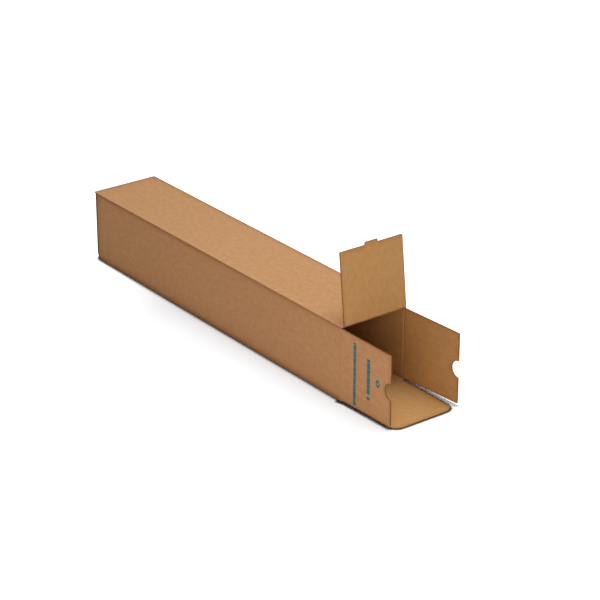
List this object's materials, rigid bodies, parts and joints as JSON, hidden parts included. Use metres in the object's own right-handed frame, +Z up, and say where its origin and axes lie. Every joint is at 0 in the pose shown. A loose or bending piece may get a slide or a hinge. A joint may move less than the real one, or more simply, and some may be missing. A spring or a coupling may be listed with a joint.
{
  "type": "square cardboard mailing tube",
  "caption": "Long square mailing tube of creased corrugated kraft board, lying on one side, far end shut, near end open with top, bottom and notched side flaps.",
  "frame": {"origin": "middle of the bottom panel's outer face, under the tube", "axes": "+Y along the tube towards its shut end, +X to the right seen from the open end, +Z up"},
  "size_m": [0.1177, 0.7283, 0.2216],
  "materials": {
    "kraft_board": "uncoated brown kraft liner, matt"
  },
  "bodies": {
    "tube": {"tube_body": "kraft_board"},
    "top_flap": {"front_top_flap": "kraft_board"},
    "left_flap": {"front_left_flap": "kraft_board"},
    "right_flap": {"front_right_flap": "kraft_board"},
    "bottom_flap": {"front_bottom_flap": "kraft_board"},
    "rear_flap": {"rear_top_flap": "kraft_board"}
  },
  "joints": [
    {"name": "top_crease", "type": "hinge", "parent": "tube", "child": "top_flap", "pos_m": [0, -0.31, 0.112], "axis": [1, 0, 0], "range_deg": [-78.5, 186.5]},
    {"name": "left_crease", "type": "hinge", "parent": "tube", "child": "left_flap", "pos_m": [-0.056, -0.3046, 0.056], "axis": [0, 0, 1], "range_deg": [-175, 90]},
    {"name": "right_crease", "type": "hinge", "parent": "tube", "child": "right_flap", "pos_m": [0.056, -0.3064, 0.056], "axis": [0, 0, -1], "range_deg": [-172, 93]},
    {"name": "bottom_crease", "type": "hinge", "parent": "tube", "child": "bottom_flap", "pos_m": [0, -0.3082, 0], "axis": [-1, 0, 0], "range_deg": [0, 90]},
    {"name": "rear_crease", "type": "hinge", "parent": "tube", "child": "rear_flap", "pos_m": [0, 0.31, 0.112], "axis": [-1, 0, 0], "range_deg": [-265, 0]}
  ]
}
